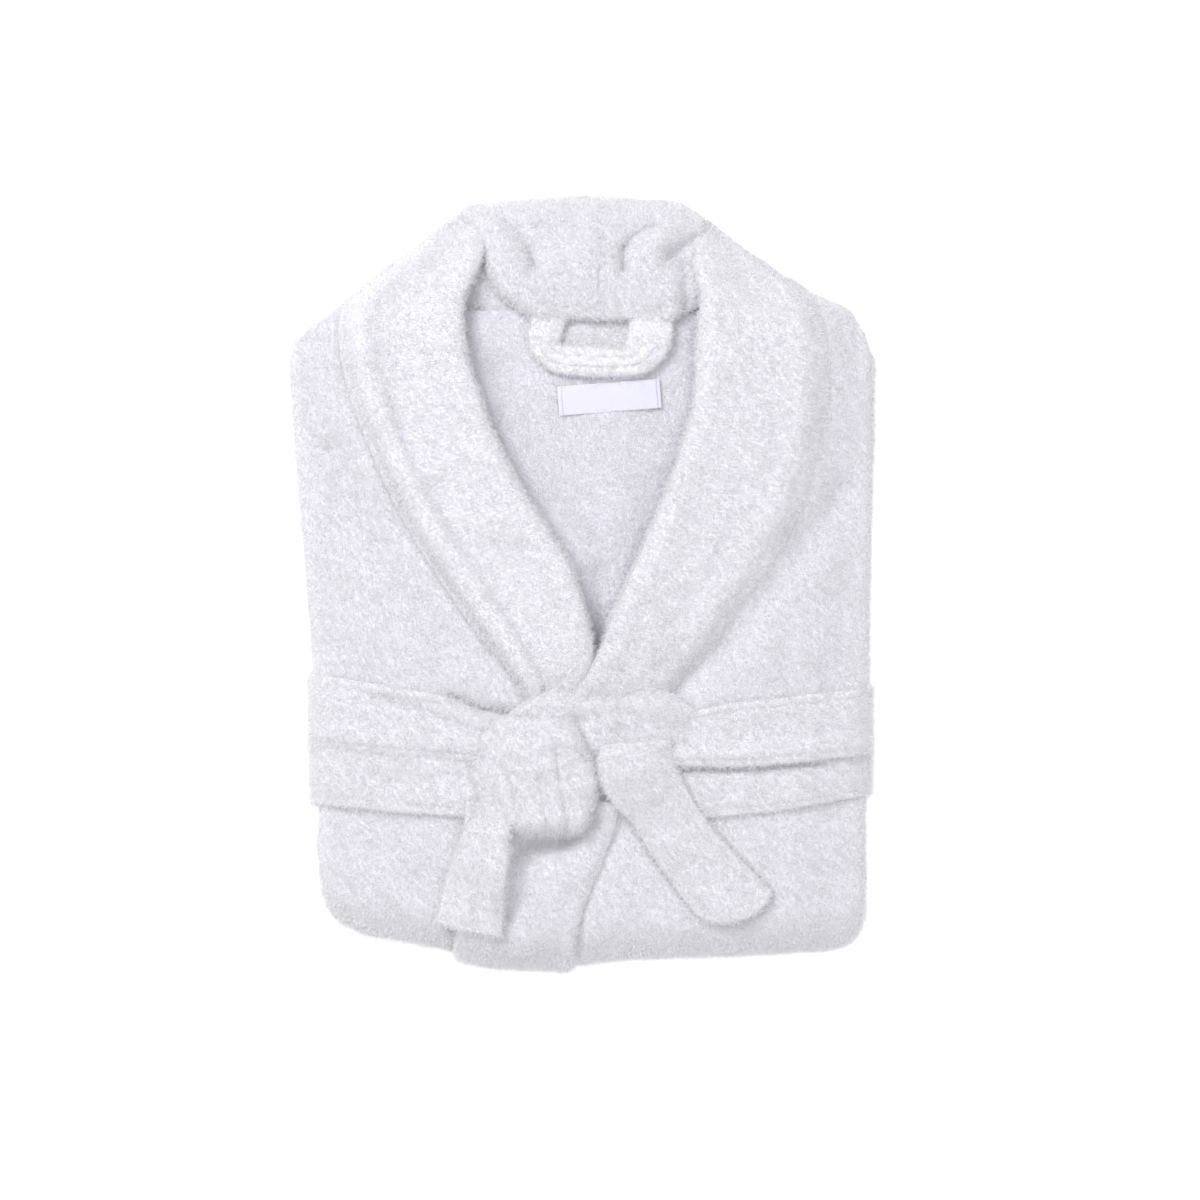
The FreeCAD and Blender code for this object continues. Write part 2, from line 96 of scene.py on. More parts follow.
# Plan of the bundle.
SHOULDER_LINE = [(-187, 140), (-184, 152), (-179, 160), (-156, 176), (-117, 207), (-100, 212), (0, 214),
                 (100, 210), (115, 204), (147, 186), (174, 175), (183, 161), (187, 141)]
LEFT_SIDE = [(-248, -166), (-220, -166), (-208, -167.5), (-185, -168.5), (-146, -167), (-100, -169),
             (-50, -171), (10, -176), (76, -181.5), (132, -186), (152, -186.5)]
RIGHT_SIDE = [(-248, 178), (-222, 181), (-140, 181), (-66, 183), (26, 184.3), (92, 186), (141, 186.4),
              (162, 184)]
RIGHT_EDGE = [(-215, -80), (-64, 2), (-37, 22), (10, 42), (62, 64), (115, 80), (180, 84), (250, 90)]
LEFT_EDGE = [(-215, 72), (-90, 24), (-64, 4), (-45, -6), (-25, -10), (-8, -16), (36, -40), (89, -66),
             (141, -84), (180, -88), (250, -92)]


# ---------------------------------------------------------------- number helpers

def step(value):
    value = np.clip(value, 0.0, 1.0)
    return value * value * (3.0 - 2.0 * value)


def bump(value, centre, width):
    return np.exp(-((value - centre) / width) ** 2)


def look_up(pairs, value):
    pairs = np.array(pairs, float)
    return np.interp(value, pairs[:, 0], pairs[:, 1])


def spline(points, count):
    """Catmull-Rom curve through the points, each stretch given the same share of the samples."""
    p = np.array(points, float)
    p = np.vstack([2 * p[0] - p[1], p, 2 * p[-1] - p[-2]])
    place = np.linspace(0, len(points) - 1, count)
    k = np.clip(place.astype(int), 0, len(points) - 2)
    t = (place - k)[:, None]
    a, b, c, d = p[k], p[k + 1], p[k + 2], p[k + 3]
    value = 2 * b + (c - a) * t
    value = value + (2 * a - 5 * b + 4 * c - d) * t ** 2
    value = value + (3 * b - a - 3 * c + d) * t ** 3
    return 0.5 * value


def paced(points, count):
    """Samples at even distances along a line of straight stretches."""
    run = np.concatenate([[0], np.cumsum(np.linalg.norm(np.diff(points, axis=0), axis=1))])
    place = np.linspace(0, run[-1], count)
    return np.stack([np.interp(place, run, points[:, axis]) for axis in range(points.shape[1])], axis=1)


def evenly(points, count):
    """Samples of the spline at even distances."""
    return paced(spline(points, 60 * len(points)), count)


def waves(points, wavelength, seed, count=36):
    """A smooth random field of unit strength: plane waves of about one wavelength."""
    rng = np.random.default_rng(seed)
    way = rng.normal(size=(count, 3))
    way /= np.linalg.norm(way, axis=1)[:, None]
    way *= (2 * math.pi / wavelength) * rng.uniform(0.65, 1.5, count)[:, None]
    phase = rng.uniform(0, 2 * math.pi, count)
    flat = points.reshape(-1, 3)
    total = np.zeros(len(flat))
    for k in range(count):
        total += np.cos(flat @ way[k] + phase[k])
    return (total * math.sqrt(2.0 / count)).reshape(points.shape[:-1])


def groove(x, y, line, width, depth):
    """Depth of a soft crease along a line in plan."""
    nearest = np.full(np.shape(x), 1e9)
    for (ax, ay), (bx, by) in zip(line[:-1], line[1:]):
        dx, dy = bx - ax, by - ay
        t = np.clip(((x - ax) * dx + (y - ay) * dy) / (dx * dx + dy * dy), 0, 1)
        nearest = np.minimum(nearest, np.hypot(x - ax - t * dx, y - ay - t * dy))
    return -depth * np.exp(-(nearest / width) ** 2)


def spread(length, spacing, rim=TERRY):
    """Places from 0 to length: even ones, with closer ones at both ends where the edge is rounded."""
    ends = rim * np.array([0.0, 0.13, 0.5])
    inner = np.linspace(rim, length - rim, max(3, int(round((length - 2 * rim) / spacing)) + 1))
    return np.concatenate([ends, inner, length - ends[::-1]])


def rounded(place, length, rim=TERRY):
    """Share of the full thickness at a place: a round edge at both ends."""
    inset = np.clip(np.minimum(place, length - place) / rim, 0, 1)
    return np.sqrt(np.clip(1 - (1 - inset) ** 2, 0, 1))


# ---------------------------------------------------------------- the bundle's soft shape

# Dents that run through every layer: line in plan, width, share of the height.
DENTS = [([(-38, -171), (-12, -167)], 10.0, 0.15),
         ([(-32, -174), (-38, -192), (-45, -214)], 10.5, 0.10),
         ([(19, -164), (8, -187), (-1, -213), (-4, -250)], 4.5, 0.035),
         ([(74, -215), (50, -180), (32, -154)], 7.0, 0.020),
         ([(-160, 84), (-148, 56), (-131, 26), (-110, -6), (-86, -36)], 9.5, 0.070),
         ([(168, 62), (134, 9), (100, -33), (66, -64)], 11.0, 0.068),
         ([(150, -170), (120, -200)], 16.0, 0.020),
         ([(-130, -168), (-110, -205)], 16.0, 0.022),
         ([(-54, 138), (-48, 112), (-38, 86), (-23, 60), (-7, 34), (5, 10)], 12.0, 0.105),
         ([(10, 4), (12, -34)], 8.0, 0.105),
         ([(-82, -74), (-67, -81), (-45, -86.5)], 4.4, 0.12)]
# The bundle's bottom edge in plan, and where its plain fold would be.
BOTTOM = [(-172, -180), (-168, -202), (-163, -214), (-155, -223.5), (-139, -230), (-100, -236.7),
          (-83, -240), (-57, -245), (-10, -247), (32, -242), (98, -240), (160, -236.5), (171, -234),
          (178, -228), (184, -214)]
PLAIN_BOTTOM = -246.0


def settle(p):
    """Presses the plain stack into a soft bundle: it thins towards its sides and shoulders, the belt
    draws it in, and its bottom corners round off.  Heights are only scaled, so the layers keep order."""
    x, y, z = p[..., 0], p[..., 1], p[..., 2]
    side = np.where(x < 0, -look_up(LEFT_SIDE, y), look_up(RIGHT_SIDE, y))
    scale = 0.91 + 0.09 * step((side - np.abs(x)) / 55.0)
    scale = scale * (1.0 - 0.32 * step((y - 150.0) / 105.0))
    scale = scale * (1.0 - 0.035 * np.exp(-((y + 107.0) / 50.0) ** 4))
    flat = np.stack([x, y, np.zeros_like(x)], axis=-1)
    scale = scale * (1.0 + 0.014 * waves(flat, 120.0, 11, 14) + 0.007 * waves(flat, 42.0, 12, 18))
    for line, width, share in DENTS:
        scale = scale * (1.0 + groove(x, y, line, width, share))
    drawn = y + (look_up(BOTTOM, x) - PLAIN_BOTTOM) * step((-150.0 - y) / 90.0)
    return np.stack([x, drawn, z * scale], axis=-1)


# ---------------------------------------------------------------- meshes

def grid_normals(p):
    along = np.gradient(p, axis=0)
    across = np.gradient(p, axis=1)
    normal = np.cross(along, across)
    return normal / np.maximum(np.linalg.norm(normal, axis=-1), 1e-9)[..., None]


def vertex_normals(verts, faces):
    normal = np.cross(verts[faces[:, 2]] - verts[faces[:, 0]], verts[faces[:, 3]] - verts[faces[:, 1]])
    total = np.zeros_like(verts)
    for corner in range(4):
        for axis in range(3):
            total[:, axis] += np.bincount(faces[:, corner], normal[:, axis], len(verts))
    return total / np.maximum(np.linalg.norm(total, axis=1), 1e-9)[:, None]


def mesh_object(name, verts, faces, cloth, material):
    mesh = bpy.data.meshes.new(name)
    mesh.from_pydata((verts * MM).tolist(), [], faces.tolist())
    mesh.polygons.foreach_set("use_smooth", np.ones(len(faces), bool))
    kind = next((key for key, value in MATERIALS.items() if value is material), None)
    place = mesh.attributes.new("cloth", "FLOAT_VECTOR", "POINT")
    place.data.foreach_set("vector", cloth.astype(np.float32).ravel())
    mesh.materials.append(material)
    mesh.validate()
    mesh.update()
    piece = bpy.data.objects.new(name, mesh)
    bpy.context.scene.collection.objects.link(piece)
    if kind not in ("label", "thread"):
        piece["pile_kind"] = kind
    return piece


def cloth_piece(name, middle, half, across, along, material, pile=0.25, grain=6.0, seed=1):
    """A closed sheet: the middle surface (rows along the cloth, columns across), half its thickness
    at each point, which is 0 all round the border, and the flat cloth coordinates for the material."""
    rows, columns = half.shape
    normal = grid_normals(middle)
    upper = middle + normal * half[..., None]
    lower = middle - normal * half[..., None]
    first = np.arange(rows * columns).reshape(rows, columns)
    second = first.copy()
    inner = np.arange((rows - 2) * (columns - 2)).reshape(rows - 2, columns - 2)
    second[1:-1, 1:-1] = rows * columns + inner
    verts = np.vstack([upper.reshape(-1, 3), lower[1:-1, 1:-1].reshape(-1, 3)])

    def quads(i, flip):
        corners = [i[:-1, :-1], i[1:, :-1], i[1:, 1:], i[:-1, 1:]]
        quad = np.stack([c.ravel() for c in corners], axis=1)
        return quad[:, ::-1] if flip else quad
    faces = np.vstack([quads(first, False), quads(second, True)])
    flat = np.stack([across, along, np.zeros_like(across)], axis=-1)
    cloth = np.vstack([flat.reshape(-1, 3), flat[1:-1, 1:-1].reshape(-1, 3) + [0, 0, 40.0]])
    out = vertex_normals(verts, faces)
    field = np.tanh(waves(verts, grain, seed)) + 0.5 * waves(verts, grain * 3.0, seed + 50, 24)
    verts = verts + out * (pile * field)[:, None]
    return mesh_object(name, verts, faces, cloth, material)


def level(s, t, x, y):
    """No rise over the rails."""
    return 0.0 * s


def even(half):
    """The same half thickness all over."""
    return lambda s, t: half + 0 * s


def patch(name, rail_a, rail_b, rise, half, material, spacing=1.8, rim=3.0, bow=(0, 0), swell=None,
          **pile):
    """A sheet between two rails.  rise(s, t, x, y) lifts its middle, half(s, t) is half its thickness;
    s runs across from rail a to rail b and t along, both from 0 to 1.  bow pushes the end outwards, and
    swell(x, y) adds to half the thickness."""
    length = np.linalg.norm(np.diff((rail_a + rail_b) / 2, axis=0), axis=1).sum()
    width = np.linalg.norm(rail_b - rail_a, axis=1).max()
    v = spread(length, spacing, rim)
    u = spread(width, spacing, rim)
    t, s = v / length, u / width
    known = np.linspace(0, 1, len(rail_a))
    a = np.stack([np.interp(t, known, rail_a[:, axis]) for axis in range(3)], axis=1)[:, None, :]
    b = np.stack([np.interp(t, known, rail_b[:, axis]) for axis in range(3)], axis=1)[:, None, :]
    middle = a + (b - a) * s[None, :, None]
    grid_s, grid_t = np.meshgrid(s, t)
    reach = step((grid_t - 0.8) / 0.2) * np.sqrt(np.clip(1 - (2 * grid_s - 1) ** 2, 0, 1))
    middle[..., 0] += bow[0] * reach
    middle[..., 1] += bow[1] * reach
    plump = swell(middle[..., 0], middle[..., 1]) if swell else 0.0
    middle[..., 2] += rise(grid_s, grid_t, middle[..., 0], middle[..., 1])
    thick = (half(grid_s, grid_t) + plump) * np.outer(rounded(v, length, rim), rounded(u, width, rim))
    across, along = np.meshgrid(u, v)
    return cloth_piece(name, settle(middle), thick, across, along, material, **pile)


# ---------------------------------------------------------------- materials

def blank_material(name):
    """A material that holds only its output node."""
    material = bpy.data.materials.new(name)
    material.use_nodes = True
    nodes = material.node_tree.nodes
    nodes.clear()
    return material, nodes, material.node_tree.links, nodes.new("ShaderNodeOutputMaterial")


def set_inputs(node, **inputs):
    """Sets a shader node's inputs by name, an underscore for each space."""
    for name, value in inputs.items():
        node.inputs[name.replace("_", " ")].default_value = value
    return node


def new_node(nodes, kind, **inputs):
    return set_inputs(nodes.new("ShaderNode" + kind), **inputs)


def terry(name, colour, rows=0.0, tuft=1.0, strength=0.55):
    """Loop-pile cotton: small tufts that lean along the cloth, a soft sheen, faint pile rows, and painted
    shade that darkens the cloth where its bump is low.
    """
    material, nodes, links, out = blank_material(name)
    cloth = new_node(nodes, "BsdfPrincipled", Roughness=0.95, Specular_IOR_Level=0.15, Sheen_Weight=0.25,
                     Sheen_Roughness=0.6)
    links.new(cloth.outputs["BSDF"], out.inputs["Surface"])
    place = new_node(nodes, "Attribute")
    place.attribute_name = "cloth"

    def scaled(factors):
        stretch = new_node(nodes, "Mapping", Scale=factors)
        links.new(place.outputs["Vector"], stretch.inputs["Vector"])
        return stretch.outputs["Vector"]

    def noise(vector, scale, detail, roughness=0.55, distortion=0.0):
        texture = new_node(nodes, "TexNoise", Scale=scale, Detail=detail, Roughness=roughness,
                           Distortion=distortion)
        links.new(vector, texture.inputs["Vector"])
        return texture

    def mix(kind, a, b):
        join = new_node(nodes, "Math")
        join.operation = kind
        for socket, value in ((join.inputs[0], a), (join.inputs[1], b)):
            if isinstance(value, (int, float)):
                socket.default_value = value
            else:
                links.new(value, socket)
        return join.outputs[0]

    strands = noise(scaled((0.85 * tuft, 0.34 * tuft, 0.6)), 1.0, 3.0, 0.6, 1.6)
    loops = new_node(nodes, "TexVoronoi", Scale=0.42 * tuft, Randomness=1.0)
    links.new(scaled((1.25, 0.8, 1.0)), loops.inputs["Vector"])
    lumps = noise(scaled((1.0, 1.0, 1.0)), 0.11, 2.0)
    height = mix("ADD", mix("MULTIPLY", strands.outputs["Fac"], 1.5),
                 mix("MULTIPLY", loops.outputs["Distance"], -0.55))
    height = mix("ADD", height, mix("MULTIPLY", lumps.outputs["Fac"], 1.2))
    if rows:
        wave = new_node(nodes, "TexWave", Scale=0.16, Distortion=2.2, Detail=2.0, Detail_Scale=0.4)
        wave.bands_direction = "Y"
        links.new(scaled((0.25, 1.0, 1.0)), wave.inputs["Vector"])
        height = mix("ADD", height, mix("MULTIPLY", wave.outputs["Fac"], rows))
    relief = new_node(nodes, "Bump", Strength=strength, Distance=0.0012)
    links.new(height, relief.inputs["Height"])
    links.new(relief.outputs["Normal"], cloth.inputs["Normal"])
    # Painted shade: the noise that raises the bump also lightens the colour, so the cloth is darker in the
    # low places of its pile, as if shaded between the tufts.
    tone = new_node(nodes, "ValToRGB")
    shaded_stop, lit_stop = tone.color_ramp.elements
    shaded_stop.position, lit_stop.position = 0.25, 0.72
    shaded_stop.color = (*[c * 0.86 for c in colour[:2]], colour[2] * 0.89, 1)
    lit_stop.color = (*colour, 1)
    links.new(mix("ADD", mix("MULTIPLY", strands.outputs["Fac"], 0.75),
                  mix("MULTIPLY", lumps.outputs["Fac"], 0.25)), tone.inputs["Fac"])
    links.new(tone.outputs["Color"], cloth.inputs["Base Color"])
    return material


def woven(name, colour, scale, strength):
    """Fine flat weave, for the label and the thread."""
    material = terry(name, colour, 0.0, scale, strength)
    cloth = next(node for node in material.node_tree.nodes if node.type == "BSDF_PRINCIPLED")
    set_inputs(cloth, Roughness=0.55, Specular_IOR_Level=0.35)
    return material


WHITE = (0.80, 0.79, 0.835)
PILE_COLOUR = (0.97, 0.965, 0.98)
# Painted light and shade on one white terry: the pile of the neck opening (inside) and of the hanger loop is
# lighter, and that of the stand a little darker, than the body's, for how light falls on them.
PILE_TONES = {"inside": (0.99, 0.985, 1.0), "loop": (0.99, 0.985, 0.995), "collar": (0.96, 0.955, 0.97),
              "stand": (0.965, 0.96, 0.98)}
MATERIALS = {
    "body": terry("terry_body", WHITE),
    "inside": terry("terry_inside", (0.775, 0.765, 0.84), strength=0.7),
    "collar": terry("terry_collar", (0.81, 0.80, 0.84), rows=0.35),
    "stand": terry("terry_stand", (0.80, 0.79, 0.83), strength=0.75),
    # Painted light: the hanger loop's cloth is lighter than the body's, for the light that falls on it.
    "loop": terry("terry_loop", (0.87, 0.865, 0.90), strength=0.45),
    "belt": terry("terry_belt", (0.79, 0.785, 0.825), rows=0.12, strength=0.45),
    "label": woven("woven_label", (0.66, 0.65, 0.74), 4.0, 0.12),
    "thread": woven("sewing_thread", (0.62, 0.61, 0.68), 3.0, 0.3),
}


def finish_piece(piece, node, body="robe"):
    """Hides the frame's part that a cloth piece stands in for, and hangs the piece on its body if it has
    one.
    """
    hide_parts(node)
    if body:
        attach(piece, body)
    return piece


# ---------------------------------------------------------------- folded panels

def side_x(side, y):
    return look_up(LEFT_SIDE if side < 0 else RIGHT_SIDE, y)


def carry(x, z, leaf, place, y):
    """Takes a point of the open panel's section round the bottom fold and the roll."""
    if leaf == "torso":
        return x, y, z
    if leaf == "fold":
        reach = z - FOLD_Z
        return x, FOLD_Y - reach * np.sin(place), FOLD_Z + reach * np.cos(place)
    low = 2 * FOLD_Z - z
    if leaf == "skirt":
        return x, y, low
    reach = ROLL_Z - low
    if leaf == "roll":
        return x, ROLL_Y + reach * np.sin(place), ROLL_Z - reach * np.cos(place)
    return x, y, 2 * ROLL_Z - low


def stations(fine, coarse):
    """The rows of a folded panel: leaf name, place in it, and the distance walked along the cloth."""
    rows = [("torso", share, share * 400.0) for share in np.concatenate(
        [[0.0, 0.0006, 0.0022], np.linspace(0.0045, 0.996, int(400 / fine))])]
    arc = math.pi * 28.0
    rows += [("fold", angle, 400.0 + arc * angle / math.pi) for angle in np.linspace(0, math.pi, 36)]
    long_b = ROLL_Y - FOLD_Y
    for place in np.linspace(0.004, 0.996, int(long_b / coarse)):
        rows.append(("skirt", FOLD_Y + long_b * place, 400.0 + arc + long_b * place))
    turn = math.pi * 10.0
    start = 400.0 + arc + long_b
    rows += [("roll", angle, start + turn * angle / math.pi) for angle in np.linspace(0, math.pi, 14)]
    long_c = ROLL_Y - HEM_Y
    for place in np.concatenate([np.linspace(0.012, 0.994, int(long_c / coarse)), [0.9975, 0.9993, 1.0]]):
        rows.append(("hem", ROLL_Y - long_c * place, start + turn + long_c * place))
    return rows


def folded_panel(name, section, places, thick, fine, coarse, material, top_line, seed):
    """Sweeps a section (places, y) -> x, z along the torso, the fold, the skirt and the rolled hem."""
    rows = stations(fine, coarse)
    middle = np.zeros((len(rows), len(places), 3))
    head_x, _ = section(places, np.full(len(places), 140.0))
    head = top_line(head_x)
    for index, (leaf, place, _) in enumerate(rows):
        if leaf == "torso":
            y = head + (FOLD_Y - head) * place
        else:
            y = np.full(len(places), {"fold": FOLD_Y, "roll": ROLL_Y}.get(leaf, place))
        x, z = section(places, y)
        middle[index] = np.stack(np.broadcast_arrays(*carry(x, z, leaf, place, y)), axis=1)
    walked = np.array([row[2] for row in rows])
    half = thick * np.outer(rounded(walked, walked[-1]), rounded(places, places[-1]))
    across, along = np.meshgrid(places, walked)
    return cloth_piece(name, settle(middle), half, across, along, material, seed=seed)


def front_panel(side):
    """One front: the ply on top, the round side and the return behind the back panel."""
    ply = RIGHT_PLY if side > 0 else LEFT_PLY
    edge = RIGHT_EDGE if side > 0 else LEFT_EDGE
    top_z, low_z = sum(ply) / 2, sum(RETURN) / 2
    radius = (top_z - low_z) / 2
    reach = 255.0
    places = np.concatenate([spread(reach, 2.4)[:-3], reach + np.linspace(2, 20, 9),
                             reach + 24 + spread(172.0, 5.0)[3:]])

    def section(place, y):
        turn_x = side_x(side, y) - side * radius
        share = np.clip(place / reach, 0, 1)
        inner = look_up(edge, y)
        x = inner + (turn_x - inner) * share
        z = np.full(np.shape(place), top_z)
        angle = np.clip((place - reach) / 22.0, 0, 1) * math.pi
        turning = place > reach
        x = np.where(turning, turn_x + side * radius * np.sin(angle), x)
        z = np.where(turning, (top_z + low_z) / 2 + radius * np.cos(angle), z)
        back = np.clip((place - reach - 24) / 172.0, 0, 1)
        x = np.where(back > 0, turn_x + (side * 8.0 - turn_x) * back, x)
        return x, np.where(back > 0, low_z, z)
    node = "front_panel_right" if side > 0 else "front_panel_left"
    piece = folded_panel("front_right" if side > 0 else "front_left", section, places, TERRY,
                         2.4, 6.0, MATERIALS["body"], lambda x: look_up(SHOULDER_LINE, x), 21 + side)
    return finish_piece(piece, node)


def back_panel():
    """The back lies between the fronts and shows in the neck opening."""
    width = 352.0
    places = spread(width, 3.0, 3.0)
    z = sum(BACK) / 2

    def section(place, y):
        left, right = side_x(-1, y) + 6.0, side_x(1, y) - 6.0
        x = left + (right - left) * place / width
        sag = 1.6 * bump(x, 16.0, 20.0) - 0.8 * bump(x, 48.0, 12.0)
        return x, z + sag * step((y + 70) / 60) * step((180 - y) / 60)

    def head(x):
        return look_up(SHOULDER_LINE, x) - 38.0 * step((84.0 - np.abs(x)) / 12.0)
    piece = folded_panel("back_inside", section, places, 2.6, 3.0, 8.0,
                         MATERIALS["inside"], head, 31)
    return finish_piece(piece, "back_panel")


# ---------------------------------------------------------------- collar

# Pairs of points from the shoulder down to the belt: roll edge, outer edge.
LAPEL_LEFT = [((-70, 237), (-76, 241)), ((-65, 227), (-98, 224)), ((-63, 212), (-121, 203)),
              ((-68, 197), (-142, 186)), ((-75, 180), (-155, 172)), ((-75, 160), (-155, 148)),
              ((-72, 141), (-151, 128)), ((-64, 115), (-143, 103)), ((-54, 89), (-130, 71)),
              ((-40, 62), (-115, 40)), ((-24, 36), (-96, 9)), ((-9, 12), (-77, -20)),
              ((-1, -10), (-60, -41)), ((4, -32), (-48, -56)), ((5, -50), (-39, -68)),
              ((-6, -72), (-33, -80)), ((-12, -88), (-30, -90))]
LAPEL_RIGHT = [((76, 232), (82, 234)), ((73, 217), (104, 216)), ((72, 200), (128, 199)),
               ((76, 184), (147, 186)), ((75, 168), (155, 166)), ((73, 145), (159, 143)),
               ((72, 115), (159, 116)), ((65, 89), (154, 88)), ((56, 62), (147, 61)),
               ((45, 36), (134, 30)), ((34, 10), (117, 4)), ((22, -17), (98, -21)),
               ((15, -37), (82, -44)), ((7, -51), (68, -60)), ((-3, -66), (60, -72)),
               ((-6, -80), (54, -82)), ((-8, -90), (50, -90))]


def lapel(name, pairs, floor, drop, fall, tuck, creases, roll, ridge, fade, under, seed):
    """A turned-out half of the shawl collar: roll and ridge thicken its inner and outer edge.  From the
    share fall of its width it drops to the ply below, and fade(t) is the share of thickness that edge loses.
    The inner edge is tucked down towards the neck opening."""
    inner = spline([pair[0] for pair in pairs], 240)
    outer = spline([pair[1] for pair in pairs], 240)
    rail_a = np.column_stack([inner, np.full(240, floor)])
    rail_b = np.column_stack([outer, np.full(240, floor)])

    def half(s, t):
        body = 2.9 + roll * np.exp(-(s / 0.32) ** 2) + ridge * bump(s, 0.83, 0.11) * step((t - 0.10) / 0.25)
        body = body * (1.0 - fade(t) * step((s - 0.74) / 0.26))
        return body * (1.0 - 0.45 * step((t - 0.84) / 0.14)) * (0.45 + 0.55 * step(t / 0.12))

    def rise(s, t, x, y):
        lift = half(s, t) + 0.7 * np.sin(s * 7.0 + t * 5.0) * step(s / 0.2) - tuck * np.exp(-(s / 0.08) ** 2)
        for line, width, depth in creases:
            lift = lift + groove(x, y, line, width, depth)
        lift = lift - drop * step((s - fall) / (0.96 - fall))
        return lift - 2.0 * step((t - 0.86) / 0.12) - 5.0 * step((0.09 - t) / 0.09)
    piece = patch(name, rail_a, rail_b, rise, half, MATERIALS["collar"], spacing=1.6, rim=4.6,
                  pile=0.28, grain=5.0, seed=seed)
    finish_piece(piece, under[0])
    lining = patch(name + "_under", shrink(rail_a, rail_b, 0.10, under[2]),
                   shrink(rail_a, rail_b, 0.66, under[2]), level, even(1.3), MATERIALS["collar"],
                   spacing=4.0, rim=1.4, seed=seed + 3)
    finish_piece(lining, under[1])


def shrink(rail_a, rail_b, share, height):
    """A rail at a share of the way across, at another height, a little shorter at both ends."""
    rail = (rail_a + (rail_b - rail_a) * share)[12:-6].copy()
    rail[:, 2] = height
    return rail


def make_lapels():
    lapel("lapel_left", LAPEL_LEFT, RIGHT_PLY[1] + 1.6, 4.8, 0.80, 4.0, [
        ([(-124, 120), (-118, 98), (-104, 70), (-84, 34), (-62, 4), (-48, -18)], 10.0, 1.7),
        ([(-104, 190), (-112, 150)], 14.0, 0.8),
    ], 3.2, 3.2, lambda t: 0.62 - 0.25 * step((t - 0.5) / 0.3),
          ("shawl_collar_left", "under_collar_left", LEFT_PLY[1] + 1.8, "front_left"), 41)
    lapel("lapel_right", LAPEL_RIGHT, RIGHT_PLY[1] + 3.6, 4.6, 0.25, 4.0, [
        ([(96, 34), (84, 8), (58, -26)], 6.0, 1.4),
        ([(136, 150), (130, 90), (112, 40)], 10.0, 1.0),
    ], 1.5, 0.6, lambda t: 0.84 - 0.30 * step((t - 0.42) / 0.25),
          ("shawl_collar_right", "under_collar_right", RIGHT_PLY[1] + 1.9, "front_right"), 46)


front_panel(-1)
front_panel(1)
back_panel()
make_lapels()

# ---------------------------------------------------------------- stand behind the neck

STAND_PATH = [(-3, 64.5), (4, 67.5), (14, 71), (30, 74), (50, 76), (63, 75), (71, 69), (74, 59), (70, 50),
              (60, 45), (42, 43), (25, 43)]
STAND_EDGE = [(-80, 239), (-75, 241), (-40, 244), (0, 247), (62, 243), (78, 233)]
NECK_SEAM = [(-77, 180), (-48, 174), (-30, 172), (57, 171), (76, 179)]
RIDGE = [(172, -29), (187, -47), (201, -53.5), (217, -58), (228, -63), (247, -72)]
CENTRE_SEAM = 10.6
# Gathers of the stand: line in plan, width, depth.
GATHERS = [([(-57, 239), (-42, 227), (-35, 214), (-31, 203)], 5.5, 6.5),
           ([(-27, 228), (-28, 204)], 7.0, 4.2),
           ([(47, 229), (33, 221), (27, 213), (27.5, 202)], 5.0, 7.5),
           ([(27, 215), (27.5, 202)], 2.6, 3.0),
           ([(78, 222), (66, 216), (57, 209)], 7.0, 9.0),
           ([(10.6, 199), (10.6, 187)], 1.6, 1.4),
           ([(-8, 240), (-4, 222)], 5.0, 1.3),
           ([(14, 243), (9, 226)], 4.0, 1.2)]


def stand_lift(x, y):
    """How far the gathers lift or sink the front of the stand."""
    lift = -13.0 * step((look_up(RIDGE, y) - x) / 9.0)
    lift = lift + 3.0 * bump(look_up(RIDGE, y) - x, -7.0, 7.0)
    lift = lift - 6.0 * step((x - 57.0) / 9.0) * step((213.0 - y) / 10.0)
    for line, width, depth in GATHERS:
        lift = lift + groove(x, y, line, width, depth)
    return lift + 4.0 * bump(x, 46, 13) * bump(y, 217, 17) + 2.2 * bump(x, 0, 14) * bump(y, 213, 20)


def stand_half(name, node, x_from, x_to, seed):
    """Half of the collar behind the neck: it rises from the seam, rolls over and falls behind."""
    path = evenly(STAND_PATH, 140)
    width = abs(x_to - x_from)
    places = spread(width, 1.6, 2.6)
    xs = x_from + (x_to - x_from) * places / width
    length = 190.0
    v = spread(length, 1.6, 3.0)
    known = np.linspace(0, length, 140)
    out, high = np.interp(v, known, path[:, 0]), np.interp(v, known, path[:, 1])
    x = np.broadcast_to(xs[None, :], (len(v), len(xs)))
    seam, edge = look_up(NECK_SEAM, x), look_up(STAND_EDGE, x)
    y = seam + out[:, None] * (edge - seam) / 74.0
    front = step((0.52 - v / length) / 0.10)[:, None]
    z = high[:, None] + stand_lift(x, y) * front
    middle = np.stack([x, y, z], axis=-1)
    half = 2.8 * np.outer(rounded(v, length, 3.0), rounded(places, width, 2.6))
    across, along = np.meshgrid(xs, v)
    piece = cloth_piece(name, settle(middle), half, across, along, MATERIALS["stand"], pile=0.38, grain=4.5,
                        seed=seed)
    finish_piece(piece, node)


def make_stand():
    stand_half("stand_left", "shawl_collar_left", -76.0, CENTRE_SEAM + 2.0, 51)
    stand_half("stand_right", "shawl_collar_right", 78.0, CENTRE_SEAM - 2.0, 54)


# ---------------------------------------------------------------- hanger loop and label

LOOP_OUTER = [(-31, 173), (-32, 165), (-34, 156), (-31, 146), (-21, 137), (-8, 133), (12, 131.5),
              (34, 132.5), (47, 138), (55, 148), (58, 159), (58, 166), (57, 173)]
LOOP_INNER = [(-9, 173), (-11, 166), (-13, 158), (-14.5, 153), (-12, 151), (-4, 150.5), (10, 150), (23, 149),
              (28, 149.5), (29.5, 153), (30.5, 160), (31, 166), (31, 173)]


